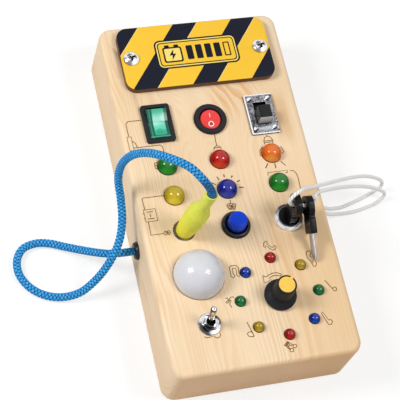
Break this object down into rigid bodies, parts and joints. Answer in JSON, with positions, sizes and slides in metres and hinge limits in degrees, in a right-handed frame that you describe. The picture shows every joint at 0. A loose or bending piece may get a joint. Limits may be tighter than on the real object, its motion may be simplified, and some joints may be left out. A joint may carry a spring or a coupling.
{
  "type": "wooden busy board",
  "caption": "Hand-held pine activity board with rocker, slide, toggle and push switches, coloured lamps, a rotary knob, a key lock and a corded plug.",
  "frame": {"origin": "centre of the flat back face that the board lies on", "axes": "+X to the right of the front face, +Y along the board towards the striped battery cover, +Z out of the front face"},
  "size_m": [0.2107, 0.2, 0.0926],
  "materials": {
    "pine": "sanded and waxed, satin",
    "plywood": "sanded, matt",
    "steel": "satin",
    "chrome": "polished",
    "brass": "satin",
    "cover_yellow": "yellow lacquer with dark blue stripes, semi-gloss",
    "black_plastic": "satin moulded",
    "black_matt": "matt moulded",
    "cell_wrap": "printed sleeve over bright metal",
    "circuit_green": "solder mask",
    "white_nylon": "matt",
    "rocker_green": "milky translucent, glossy",
    "rocker_red": "glossy",
    "lens_green": "translucent, glossy",
    "lens_red": "translucent, glossy",
    "lens_orange": "translucent, glossy",
    "lens_yellow": "translucent, glossy",
    "lens_blue": "translucent, glossy",
    "dome_white": "milky diffuser, glossy",
    "cap_blue": "glossy",
    "cap_yellow": "matt",
    "plug_yellow": "soft, satin",
    "braid_blue": "woven sleeve",
    "string_white": "twisted cotton"
  },
  "bodies": {
    "board": {"wood_body": "pine", "back_panel": "plywood", "back_screws": "steel", "battery_cover": "cover_yellow", "cover_screws": "chrome", "cover_inserts": "brass", "battery_holder": "black_matt", "battery_cells": "cell_wrap", "battery_contacts": "steel", "main_board": "circuit_green", "board_spacers": "white_nylon", "board_screws": "steel", "switch_terminals": "brass", "green_rocker_housing": "black_plastic", "red_rocker_housing": "black_plastic", "slide_plate": "chrome", "slide_rivets": "chrome", "slide_housing": "black_matt", "lamp_green_left": "lens_green", "lamp_red": "lens_red", "lamp_orange": "lens_orange", "lamp_yellow": "lens_yellow", "lamp_blue": "lens_blue", "lamp_green_right": "lens_green", "ring_lamps_red": "lens_red", "ring_lamps_yellow": "lens_yellow", "ring_lamps_green": "lens_green", "ring_lamps_blue": "lens_blue", "button_housing": "black_plastic", "button_nut": "black_matt", "button_spring": "steel", "dome_lens": "dome_white", "dome_board": "white_nylon", "toggle_housing": "chrome", "toggle_washer": "chrome", "toggle_nut": "chrome", "pot_housing": "steel", "pot_nut": "chrome", "lock_housing": "chrome", "lock_nut": "chrome", "spare_key_blade": "steel", "spare_key_head": "black_plastic", "string_grommet": "black_matt", "key_string": "string_white", "jack_socket": "white_nylon", "cord_grommet": "black_matt", "plug_cord": "braid_blue"},
    "green_rocker_body": {"green_rocker": "rocker_green"},
    "red_rocker_body": {"red_rocker": "rocker_red"},
    "slide_body": {"slide_knob": "black_plastic"},
    "button_body": {"button_cap": "cap_blue"},
    "toggle_body": {"toggle_lever": "chrome"},
    "knob_body": {"pot_shaft": "steel", "knob": "black_plastic", "knob_cap": "cap_yellow"},
    "lock_body": {"lock_core": "black_matt", "key_blade": "steel", "key_head": "black_plastic"},
    "plug_body": {"plug_handle": "plug_yellow", "plug_pin": "chrome"}
  },
  "joints": [
    {"name": "green_rocker_hinge", "type": "hinge", "parent": "board", "child": "green_rocker_body", "pos_m": [-0.029, 0.0394, 0.0334], "axis": [1, 0, 0], "range_deg": [-18, 0]},
    {"name": "red_rocker_hinge", "type": "hinge", "parent": "board", "child": "red_rocker_body", "pos_m": [-0.0004, 0.0386, 0.0336], "axis": [1, 0, 0], "range_deg": [-18, 0]},
    {"name": "slide_switch", "type": "slide", "parent": "board", "child": "slide_body", "axis": [0, 1, 0], "range_m": [0, 0.0046]},
    {"name": "button_press", "type": "slide", "parent": "board", "child": "button_body", "axis": [0, 0, -1], "range_m": [0, 0.003], "stiffness_N_per_m": 400, "deforming": ["button_spring"]},
    {"name": "toggle_hinge", "type": "hinge", "parent": "board", "child": "toggle_body", "pos_m": [-0.0262, -0.0738, 0.037], "axis": [1, 0, 0], "range_deg": [0, 24]},
    {"name": "knob_turn", "type": "hinge", "parent": "board", "child": "knob_body", "pos_m": [0.0133, -0.0643, 0.045], "axis": [0, 0, 1], "range_deg": [-105, 195]},
    {"name": "lock_turn", "type": "hinge", "parent": "board", "child": "lock_body", "pos_m": [0.0282, -0.023, 0.036], "axis": [0, 0, 1], "range_deg": [-90, 0], "deforming": ["key_string"]},
    {"name": "plug_pull", "type": "slide", "parent": "board", "child": "plug_body", "axis": [0.1392, 0, 0.9903], "range_m": [0, 0.015], "deforming": ["plug_cord"]}
  ]
}
